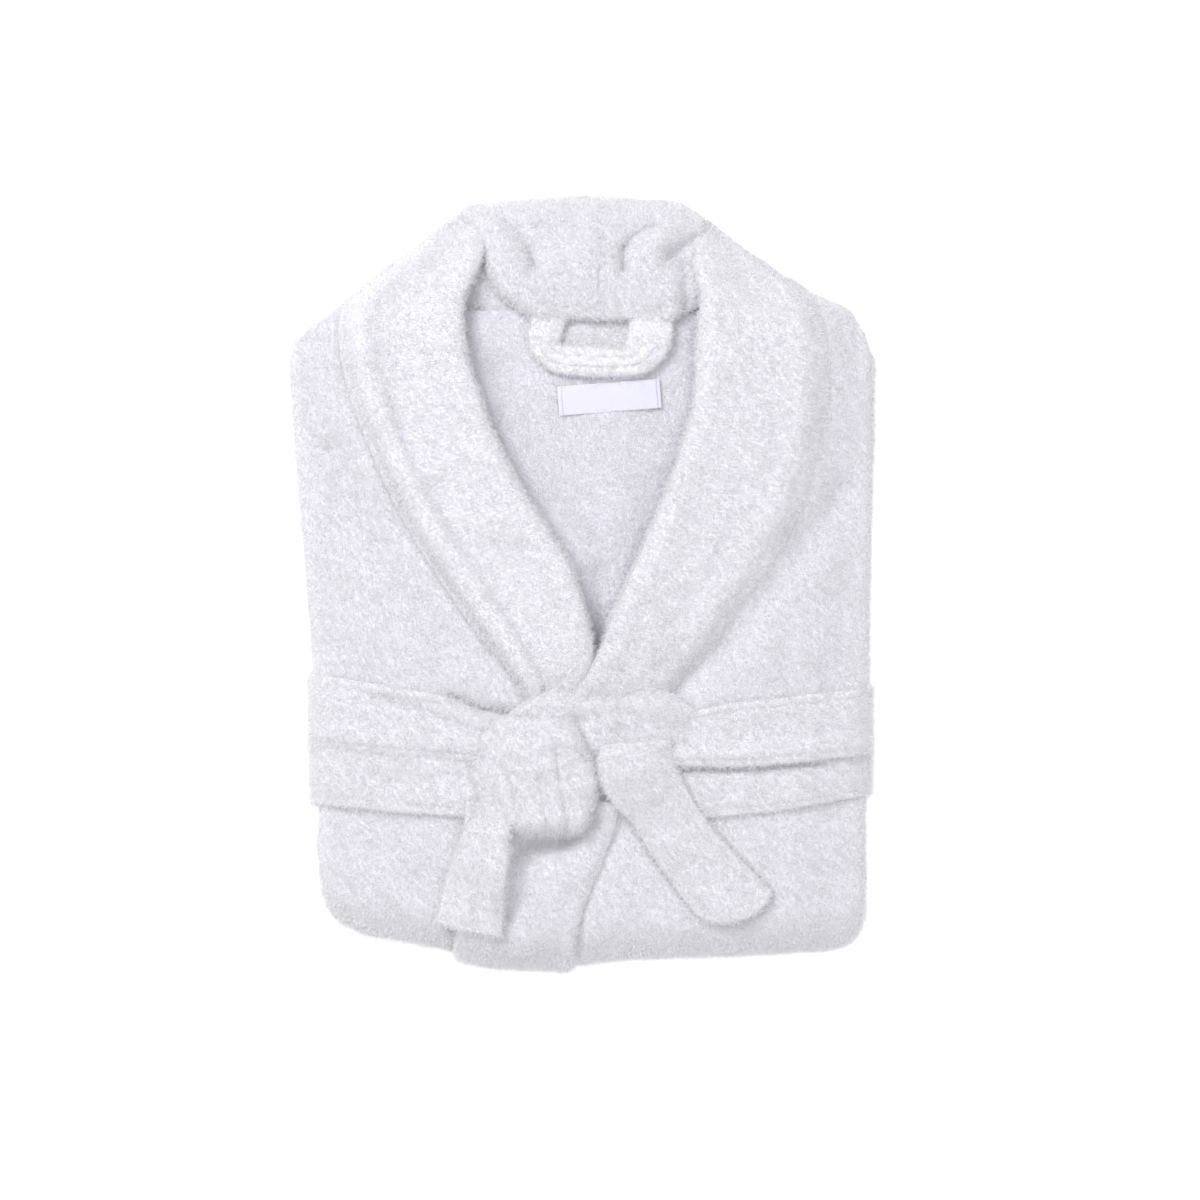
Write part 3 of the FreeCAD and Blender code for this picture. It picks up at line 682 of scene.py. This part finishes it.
LABEL_TURN = math.radians(4.5)
LABEL_REACH, LABEL_RISE = 33.0, 9.5     # half the label's length and width
STITCH_PLACE, STITCH_STEP = 30.5, 2.15  # from the label's middle to a line of stitches, and along it


def rail_of(points, height):
    """A level rail through points in plan."""
    line = spline(points, 160)
    return np.column_stack([line, np.full(len(line), height)])


def make_loop():
    """A folded strip of terry, sewn into the neck seam at both ends."""
    height = BACK[1] + 3.8
    rail_a, rail_b = rail_of(LOOP_OUTER, height), rail_of(LOOP_INNER, height)

    def rise(s, t, x, y):
        folds = -0.9 * bump(s, 0.36, 0.07) - 0.8 * bump(s, 0.66, 0.07)
        ends = 1.8 * step((np.abs(t - 0.5) - 0.36) / 0.14)
        return folds * step((0.30 - np.abs(t - 0.5)) / 0.08) + ends + 0.8 * np.sin(t * 17.0)
    piece = patch("hanger_strip", rail_a, rail_b, rise, lambda s, t: 2.4 + 1.4 * bump(s, 0.5, 0.3),
                  MATERIALS["loop"], spacing=1.1, rim=4.2, pile=0.35, grain=4.0, seed=61)
    finish_piece(piece, "hanger_loop", body=None)
    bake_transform(piece)
    band = patch("neck_binding", rail_of([(-30, 146), (12, 143), (54, 146)], BACK[1] - 0.6),
                 rail_of([(-34, 175), (12, 173), (58, 175)], BACK[1] + 0.2),
                 level, even(1.2), MATERIALS["stand"], spacing=1.3, rim=1.5, pile=0.4, grain=4.0, seed=62)
    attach(band, "robe")


def label_point(u, v):
    """A point of the label's own plane, u along it and v across, on the bundle."""
    low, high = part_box("brand_label")
    x = (low.x + high.x) / 2 / MM + u * math.cos(LABEL_TURN) - v * math.sin(LABEL_TURN)
    y = (low.y + high.y) / 2 / MM + u * math.sin(LABEL_TURN) + v * math.cos(LABEL_TURN)
    return x, y


def under_label(x, y):
    """Where the label covers the cloth."""
    middle_x, middle_y = label_point(0, 0)
    u = (x - middle_x) * math.cos(LABEL_TURN) + (y - middle_y) * math.sin(LABEL_TURN)
    v = (y - middle_y) * math.cos(LABEL_TURN) - (x - middle_x) * math.sin(LABEL_TURN)
    return (np.abs(u) < LABEL_REACH - 1.0) & (np.abs(v) < LABEL_RISE - 1.0)


def stitch(end, place, height):
    """Five rings of six points: a short tube of thread, thinner at its ends."""
    points = []
    for along in np.linspace(-0.75, 0.75, 5):
        girth = 0.34 * math.sqrt(max(0.04, 1 - (along / 0.8) ** 2))
        for angle in np.linspace(0, 2 * math.pi, 6, endpoint=False):
            x, y = label_point(end + girth * math.cos(angle), place + along)
            points.append((x, y, height + girth * math.sin(angle)))
    return points


def make_label():
    """A blank woven label and the stitches through its ends."""
    height = BACK[1] + 1.0

    def rail(v):
        return rail_of([label_point(u, v) for u in (-LABEL_REACH, 0, LABEL_REACH)], height)

    def rise(s, t, x, y):
        return 0.7 * np.sin(t * 6.0) * s + 0.5 * bump(t, 0.72, 0.12) * s
    piece = patch("woven_tag", rail(-LABEL_RISE), rail(LABEL_RISE), rise, even(0.45), MATERIALS["label"],
                  spacing=1.2, rim=0.5, pile=0.0, grain=9.0, seed=65)
    finish_piece(piece, "brand_label")
    verts, faces, flats = [], [], []
    for end in (-STITCH_PLACE, STITCH_PLACE):
        for place in np.arange(-8.6, 9.0, STITCH_STEP):
            base = len(verts)
            verts += stitch(end, place, height + 0.75)
            for row in range(4):
                for k in range(6):
                    a, b = base + row * 6 + k, base + row * 6 + (k + 1) % 6
                    faces.append((a, b, b + 6, a + 6))
            flats += [(*label_point(end, place), 0)] * (len(verts) - base)
    points = settle(np.array(verts))
    piece = mesh_object("tag_stitches", points, np.array(faces), np.array(flats, float), MATERIALS["thread"])
    close_ends(piece)
    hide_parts("label_stitches")
    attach(piece, "robe")


def close_ends(piece):
    """Fills the open ends of every little tube of a mesh."""
    shape = bmesh.new()
    shape.from_mesh(piece.data)
    bmesh.ops.holes_fill(shape, edges=[edge for edge in shape.edges if edge.is_boundary], sides=8)
    bmesh.ops.recalc_face_normals(shape, faces=shape.faces)
    shape.to_mesh(piece.data)
    shape.free()


# ---------------------------------------------------------------- belt

LEFT_TOP_EDGE = [(-176, -58), (-133, -65), (-92, -72), (-78, -77), (-62, -83), (-45, -87)]
LEFT_MIDDLE = [(-176, -107), (-117, -112), (-45, -116)]
LEFT_UNDER = [(-176, -97), (-117, -102), (-45, -106)]
LEFT_LOW_EDGE = [(-176, -143), (-117, -148), (-70, -151), (-45, -152)]
RIGHT_TOP_EDGE = [(45, -88), (68, -83), (98, -77), (190, -67)]
RIGHT_OVER_EDGE = [(45, -117), (98, -118.5), (131, -116), (190, -110)]
RIGHT_UNDER_EDGE = [(45, -112), (98, -111), (190, -103)]
RIGHT_LOW_EDGE = [(45, -152), (78, -151), (118, -148), (148, -143), (190, -136)]
BELT_HALF = 2.1
LEFT_DROP = 3.2                  # how much lower the belt lies on the left, past the crossing fronts


def ring_path(reach, lift):
    """Mid-line of a wrap in x and z, from under the knot round the back and up again."""
    middle_z = BELT_TOP - 1.6
    low_z, corner = FLOOR + 2.3, 15.0
    left, right = side_x(-1, -105.0) - 4.6, side_x(1, -105.0) + 2.6
    left_z = middle_z - LEFT_DROP
    points = [(x, middle_z + lift(x) - LEFT_DROP * step((-16 - x) / 30))
              for x in np.linspace(-reach, left + corner, 40)]
    corners = ((left + corner, left_z - corner, 90), (left + corner, low_z + corner, 180),
               (right - corner, low_z + corner, 270), (right - corner, middle_z - corner, 0))
    for centre_x, centre_z, start in corners:
        for angle in np.radians(np.linspace(start, start + 90, 10)):
            points.append((centre_x + corner * math.cos(angle), centre_z + corner * math.sin(angle)))
    points += [(x, middle_z + lift(x)) for x in np.linspace(right - corner, reach, 40)]
    return np.array(points)


def wrap(name, node, left_edges, right_edges, lift, rise, seed):
    """One turn of the belt.  The edges are its two borders in plan, on the left and on the right."""
    path = paced(ring_path(46.0, lift), 400)
    share = np.linspace(0, 1, 400)
    rails = []
    for left_edge, right_edge in zip(left_edges, right_edges):
        left_y, right_y = look_up(left_edge, path[:, 0]), look_up(right_edge, path[:, 0])
        y = left_y + (right_y - left_y) * step((share - 0.25) / 0.5)
        bend = side_x(1, y) - side_x(1, -105.0)
        lean = 0.3 * np.where(path[:, 0] < 0, side_x(-1, y) - side_x(-1, -105.0), bend)
        rails.append(np.column_stack([path[:, 0] + lean, y, path[:, 1]]))

    def height(s, t, x, y):
        top = step((0.27 - np.abs(np.abs(t - 0.5) - 0.5)) / 0.04)
        crown = 2.0 * (1 - (2 * s - 1) ** 2)
        seams = -0.8 * bump(s * 44, 5.5, 1.0) - 0.8 * bump(s * 44, 38.5, 1.0)
        return (crown + seams + rise(s, t, x, y)) * top - 0.8 * top
    piece = patch(name, rails[0], rails[1], height, even(BELT_HALF), MATERIALS["belt"],
                  spacing=1.9, rim=2.4, pile=0.25, grain=4.5, seed=seed)
    finish_piece(piece, node)


def make_wraps():
    def upper_rise(s, t, x, y):
        left = groove(x, y, [(-133, -74), (-110, -79), (-57, -98)], 4.0, 3.0)
        left = left + groove(x, y, [(-83, -75), (-68, -82), (-46, -87)], 2.8, 4.0)
        left = left + 1.0 * step((s - 0.5) / 0.3)
        right = 4.2 * step((s - 0.55) / 0.3) * step((x - 20) / 30)
        return left + right + groove(x, y, [(70, -92), (120, -90)], 7.0, 1.2)

    def lower_rise(s, t, x, y):
        dips = groove(x, y, [(-140, -128), (-60, -124)], 7.0, 1.2)
        dips = dips + groove(x, y, [(90, -136), (150, -128)], 5.0, 1.0)
        return dips + groove(x, y, [(55, -119), (98, -119), (150, -116)], 4.5, 3.2)
    wrap("wrap_upper", "belt_wrap_upper", (LEFT_TOP_EDGE, LEFT_MIDDLE), (RIGHT_TOP_EDGE, RIGHT_OVER_EDGE),
         lambda x: 2.6 * bump(x, 5, 70), upper_rise, 71)
    wrap("wrap_lower", "belt_wrap_lower", (LEFT_UNDER, LEFT_LOW_EDGE), (RIGHT_UNDER_EDGE, RIGHT_LOW_EDGE),
         lambda x: 0.0 * x, lower_rise, 74)


def crown(s, height):
    return height * (1 - np.abs(2 * s - 1) ** 2.0)


KNOT_LEFT = [(-12, -66), (-30, -74), (-48, -87), (-66, -100), (-76, -114), (-72, -129), (-63, -141),
             (-55, -149), (-49, -155), (-44, -158)]
KNOT_RIGHT = [(49, -67), (62, -75), (76, -84), (84, -94), (66, -107), (38, -115), (14, -115), (9, -124),
              (10, -138), (6, -150), (-2, -161)]
KNOT_FOLDS = [([(-4, -92), (2, -103), (8, -116), (9, -130), (5, -142)], 6.0, 5.0),
              ([(-17, -106), (-13, -130), (-9, -152)], 3.6, 2.4), ([(-27, -126), (-22, -154)], 3.4, 1.8),
              ([(-70, -92), (-50, -98), (-32, -99)], 4.5, 2.0),
              ([(-56, -82), (-20, -88), (8, -86)], 5.0, 1.5),
              ([(12, -94), (38, -97), (76, -90)], 5.0, 1.6), ([(-46, -122), (-40, -150)], 4.5, 1.6),
              ([(24, -80), (40, -88), (70, -86)], 4.5, 1.2),
              ([(-74, -110), (-52, -118), (-40, -116)], 5.0, 1.4)]
KNOT_SPLIT = [(-162, -4), (-150, 4), (-138, 9), (-126, 9), (-116, 8), (-104, 3), (-92, -3), (-60, -8)]
BAND_FOOT = [(-75, -132), (-20, -124), (12, -116), (36, -116), (62, -110), (88, -99)]


def knot_height(x, y):
    """Height of the knot's skin over its rim: a hanging lobe on the left, a band right across."""
    split = look_up(KNOT_SPLIT, y)
    lobe = 16.5 * step((x + 90) / 70.0) * step((split - x) / 10.0 + 0.35) * step((-58 - y) / 42.0)
    lobe = lobe * np.clip(step((y + 163) / 12.0), 0, 1) ** 0.6
    band = 11.0 * step((x + 90) / 66.0) * step((104 - x) / 66.0) * step((-60 - y) / 20.0)
    band = band * np.clip(step((y - look_up(BAND_FOOT, x)) / 8.0), 0, 1) ** 0.7
    top = np.log(np.exp(lobe / 2.5) + np.exp(band / 2.5)) * 2.5 - 2.5 * math.log(2.0)
    for line, width, depth in KNOT_FOLDS:
        top = top + groove(x, y, line, width, depth) * np.clip(top / 10.0, 0, 1)
    return np.maximum(top, 0.0)


def make_knot():
    """The knot: a band across the belt and a puffed lobe that hangs from its left."""
    def rail(points):
        line = spline(points, 160)
        sunk = 5.6 * step((-22 - line[:, 0]) / 40) + 4.0 * step((line[:, 0] - 36) / 30)
        return np.column_stack([line, BELT_TOP - 0.8 - sunk])
    piece = patch("knot", rail(KNOT_LEFT), rail(KNOT_RIGHT), lambda s, t, x, y: 0.62 * knot_height(x, y),
                  even(1.8), MATERIALS["belt"], spacing=1.5, rim=3.0, pile=0.32, grain=4.5,
                  seed=81, swell=lambda x, y: 0.38 * knot_height(x, y))
    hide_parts("belt_knot_band", "belt_knot_loop")
    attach(piece, "robe")


def tail(name, node, left, right, rise, bow, seed):
    piece = patch(name, spline(left, 160), spline(right, 160), rise, even(BELT_HALF + 0.3),
                  MATERIALS["belt"], spacing=1.5, rim=2.8, bow=bow, pile=0.3, grain=4.5, seed=seed)
    finish_piece(piece, node, body=None)
    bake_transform(piece)


def make_tails():
    def right_rise(s, t, x, y):
        lift = crown(s, 5.5) * step((0.75 - t) / 0.6) + crown(s, 1.8)
        return lift + groove(x, y, [(34, -112), (50, -140), (74, -178)], 6.0, 1.2)

    def left_rise(s, t, x, y):
        lift = crown(s, 3.0) * step((0.75 - t) / 0.4) + crown(s, 1.6)
        lift = lift + groove(x, y, [(-57, -150), (-64, -185), (-70, -224)], 4.5, 1.8)
        return lift + groove(x, y, [(-76, -170), (-82, -205)], 4.0, 1.0)
    tail("tail_right", "belt_tail_right",
         [(13, -104, 74), (11, -112, 76), (10, -121, 76), (13, -131, 75), (20, -141, 73.5), (32, -154, 72),
          (45, -175, 70.5), (63, -203, 69.5), (73, -216, 69)],
         [(57, -100, 73), (58, -108, 74), (60, -117, 74), (65, -127, 73.5), (72, -140, 72.5), (84, -158, 71),
          (97, -173, 70), (110, -188, 69.3), (120, -200, 69)],
         right_rise, (8, -12), 85)
    tail("tail_left", "belt_tail_left",
         [(-66, -134, 63), (-70, -147, 65), (-75, -160, 66.5), (-81, -178, 67), (-88, -200, 66.8),
          (-93, -224, 66.3)],
         [(-41, -138, 66), (-43, -148, 71), (-45, -158, 76), (-47, -176, 78.5), (-49, -200, 76),
          (-51, -226, 73)],
         left_rise, (0, -2), 88)


# ---------------------------------------------------------------- facing and the hidden pieces

def make_front_band():
    """The facing of the front that lies on top, from under the belt round the bottom fold."""
    reach = RIGHT_PLY[1] - FOLD_Z + 1.5
    straight = [(y, FOLD_Z + reach) for y in np.linspace(-140, FOLD_Y, 12)]
    bent = [(FOLD_Y - reach * math.sin(a), FOLD_Z + reach * math.cos(a)) for a in np.linspace(0.08, 2.4, 26)]
    path = evenly(straight + bent, 120)
    left = look_up([(-260, -82), (-228, -79), (-140, -74)], path[:, 0])
    right = look_up([(-260, -8), (-228, -4), (-205, 3), (-184, 12), (-162, 20), (-140, 26)], path[:, 0])
    rail_a = np.column_stack([left, path])
    rail_b = np.column_stack([right, path])
    piece = patch("front_facing", rail_a, rail_b, level, lambda s, t: 1.6 + 0.9 * bump(s, 0.93, 0.05),
                  MATERIALS["body"], spacing=2.2, rim=2.4, seed=91)
    finish_piece(piece, "front_band_right")


def plain_cloth(name, node, kind, spacing=5.0, taper=0.0):
    """A flat piece inside the bundle, as large as its place in the frame allows."""
    low, high = (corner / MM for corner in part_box(node))
    half = (high.z - low.z) / 2 - 0.2
    rim = max(half, 1.0)
    y = np.linspace(low.y, high.y, 30)
    draw_in = taper * step((y - high.y + 45) / 45)
    inner_left = low.x > 0
    left = low.x + (0 if inner_left else draw_in)
    right = high.x - (draw_in if inner_left else 0)
    z = np.full(30, (low.z + high.z) / 2)
    piece = patch(name, np.column_stack([left + 0 * y, y, z]), np.column_stack([right + 0 * y, y, z]),
                  level, even(half), MATERIALS[kind], spacing=spacing, rim=rim, pile=0.15, grain=14.0,
                  seed=sum(map(ord, name)))
    finish_piece(piece, node)


def make_hidden():
    for side in ("left", "right"):
        plain_cloth("arm_" + side, "sleeve_" + side, "body", taper=55.0)
        plain_cloth("arm_end_" + side, "cuff_" + side, "body")
        plain_cloth("patch_" + side, "pocket_" + side, "body")
        plain_cloth("guide_" + side, "belt_guide_" + side, "belt", spacing=3.0)


make_stand()
make_loop()
make_label()
make_wraps()
make_knot()
make_tails()
make_front_band()
make_hidden()


# ---------------------------------------------------------------- loose pile

PILE_CELL = 1.4
MOVING = ("hanger_strip", "tail_right", "tail_left")
PILE_KINDS = {"body": (2.1, 1.0), "inside": (2.0, 1.1), "collar": (2.1, 0.9), "stand": (2.1, 0.9),
              "loop": (2.7, 0.85), "belt": (2.3, 1.0)}


def outermost(points, axis, sign):
    """Whether each point is the farthest out, give or take the pile, along one axis."""
    across = [k for k in range(3) if k != axis]
    cell = np.floor(points[:, across] / PILE_CELL).astype(int) + 400
    key = cell[:, 0] * 1000 + cell[:, 1]
    reach = np.full(key.max() + 1, -1e9)
    np.maximum.at(reach, key, sign * points[:, axis])
    return sign * points[:, axis] > reach[key] - 3.0


def pile_material(name, colour):
    """A cotton loop: lets some light through, differs a little from its neighbours, and has painted shade
    that darkens it towards its root.
    """
    material, nodes, links, out = blank_material(name)
    strand = new_node(nodes, "HairInfo")
    vary = new_node(nodes, "MapRange", To_Min=0.92, To_Max=1.0)
    links.new(strand.outputs["Random"], vary.inputs["Value"])
    # Painted shade: each loop is darker towards its root, where the pile shades itself.
    rise = new_node(nodes, "MapRange", From_Max=0.6, To_Min=0.80)
    links.new(strand.outputs["Intercept"], rise.inputs["Value"])
    random_tone_and_root_shade = new_node(nodes, "Math")
    random_tone_and_root_shade.operation = "MULTIPLY"
    links.new(vary.outputs["Result"], random_tone_and_root_shade.inputs[0])
    links.new(rise.outputs["Result"], random_tone_and_root_shade.inputs[1])
    tone = new_node(nodes, "ValToRGB")
    tone.color_ramp.elements[0].color = (0, 0, 0, 1)
    tone.color_ramp.elements[1].color = (*colour, 1)
    links.new(random_tone_and_root_shade.outputs["Value"], tone.inputs["Fac"])
    solid = new_node(nodes, "BsdfDiffuse")
    thin = new_node(nodes, "BsdfTranslucent")
    both = new_node(nodes, "MixShader", Fac=0.30)
    for shader in (solid, thin):
        links.new(tone.outputs["Color"], shader.inputs["Color"])
    links.new(solid.outputs["BSDF"], both.inputs[1])
    links.new(thin.outputs["BSDF"], both.inputs[2])
    links.new(both.outputs["Shader"], out.inputs["Surface"])
    return material


def grow_pile(piece, shown, density, length, material, seed):
    """Short curled loops on the part of a piece that shows."""
    mesh = piece.data
    corners = np.zeros(len(mesh.loops), int)
    mesh.loops.foreach_get("vertex_index", corners)
    area = np.zeros(len(mesh.polygons))
    mesh.polygons.foreach_get("area", area)
    size = np.zeros(len(mesh.polygons), int)
    mesh.polygons.foreach_get("loop_total", size)
    share = np.add.reduceat(shown[corners].astype(float), np.concatenate([[0], np.cumsum(size)[:-1]])) / size
    count = int(density * (area * share).sum() / MM ** 2)
    if count < 30:
        return
    group = piece.vertex_groups.new(name="pile")
    group.add(np.nonzero(shown)[0].tolist(), 1.0, "REPLACE")
    mesh.materials.append(material)
    piece.modifiers.new("pile", "PARTICLE_SYSTEM")
    system = piece.particle_systems[0]
    system.seed = seed
    system.vertex_group_density = "pile"
    hair = system.settings
    hair.type = "HAIR"
    hair.use_advanced_hair = True
    hair.count = count
    hair.emit_from = "FACE"
    hair.distribution = "RAND"
    hair.hair_step = 4
    hair.render_step = 3
    hair.display_step = 2
    hair.normal_factor = 0.00026 * length
    hair.factor_random = 0.00030 * length
    hair.brownian_factor = 0.0011 * length
    hair.root_radius = 0.19
    hair.tip_radius = 0.12
    hair.radius_scale = 0.001
    hair.material = len(mesh.materials)


def grow_all_pile():
    """Pile on all that shows: both faces of the pieces that move, and what lies under them."""
    pieces = [piece for piece in bpy.context.scene.objects if "pile_kind" in piece]
    clouds = []
    for piece in pieces:
        points = np.zeros(len(piece.data.vertices) * 3)
        piece.data.vertices.foreach_get("co", points)
        clouds.append(points.reshape(-1, 3) / MM)
    every = np.vstack(clouds)
    moves = np.concatenate([np.full(len(cloud), piece.name in MOVING)
                            for piece, cloud in zip(pieces, clouds)])
    still = every[~moves]
    seen = outermost(still, 2, 1)
    for axis, sign in ((0, 1), (0, -1), (1, 1), (1, -1)):
        seen |= outermost(still, axis, sign) & (still[:, 2] > 3.0)
    shown = moves.copy()
    shown[~moves] = seen & ~under_label(still[:, 0], still[:, 1])
    start = 0
    for index, (piece, cloud) in enumerate(zip(pieces, clouds)):
        density, length = PILE_KINDS[piece["pile_kind"]]
        grow_pile(piece, shown[start:start + len(cloud)], density, length,
                  PILES[piece["pile_kind"]], 200 + index)
        start += len(cloud)


PILES = {kind: pile_material("pile_" + kind, PILE_TONES.get(kind, PILE_COLOUR)) for kind in PILE_KINDS}


# ---------------------------------------------------------------- stage

def soft_light(name, place, size, energy, aim=(0, 0, 0.03)):
    data = bpy.data.lights.new(name, "AREA")
    data.shape = "DISK"
    data.size = size
    data.energy = energy
    light = bpy.data.objects.new(name, data)
    light.location = place
    light.rotation_euler = (Vector(aim) - Vector(place)).to_track_quat("-Z", "Y").to_euler()
    bpy.context.scene.collection.objects.link(light)


def make_stage():
    bpy.ops.mesh.primitive_plane_add(size=8.0, location=(0, 0, -0.0005))
    floor = bpy.context.object
    floor.name = "floor"
    paper = bpy.data.materials.new("white_paper")
    paper.use_nodes = True
    set_inputs(paper.node_tree.nodes["Principled BSDF"], Base_Color=(0.97, 0.97, 0.97, 1), Roughness=1.0,
               Emission_Color=(1, 1, 1, 1), Emission_Strength=0.35)
    floor.data.materials.append(paper)
    soft_light("key", (-1.0, 1.1, 1.8), 1.0, 38.5)
    soft_light("top", (0.1, 0.1, 2.6), 2.2, 25.0)
    soft_light("fill", (1.1, -1.2, 1.6), 1.8, 10.0)
    world = bpy.data.worlds.new("studio")
    world.use_nodes = True
    set_inputs(world.node_tree.nodes["Background"], Color=(0.98, 0.985, 1.0, 1), Strength=0.42)
    bpy.context.scene.world = world
    bpy.context.scene.view_settings.view_transform = "Standard"


def make_camera():
    """Straight down on the bundle, with its centre a little off the picture's."""
    high, sensor = 2.4, 36.0
    true_height, picture_width = 0.066, 0.768
    camera = bpy.data.objects.new("camera", bpy.data.cameras.new("camera"))
    camera.location = (0.012, -0.0115, high)
    camera.data.sensor_width = sensor
    camera.data.lens = sensor * (high - true_height) / picture_width
    bpy.context.scene.collection.objects.link(camera)
    bpy.context.scene.camera = camera


grow_all_pile()
make_stage()
make_camera()
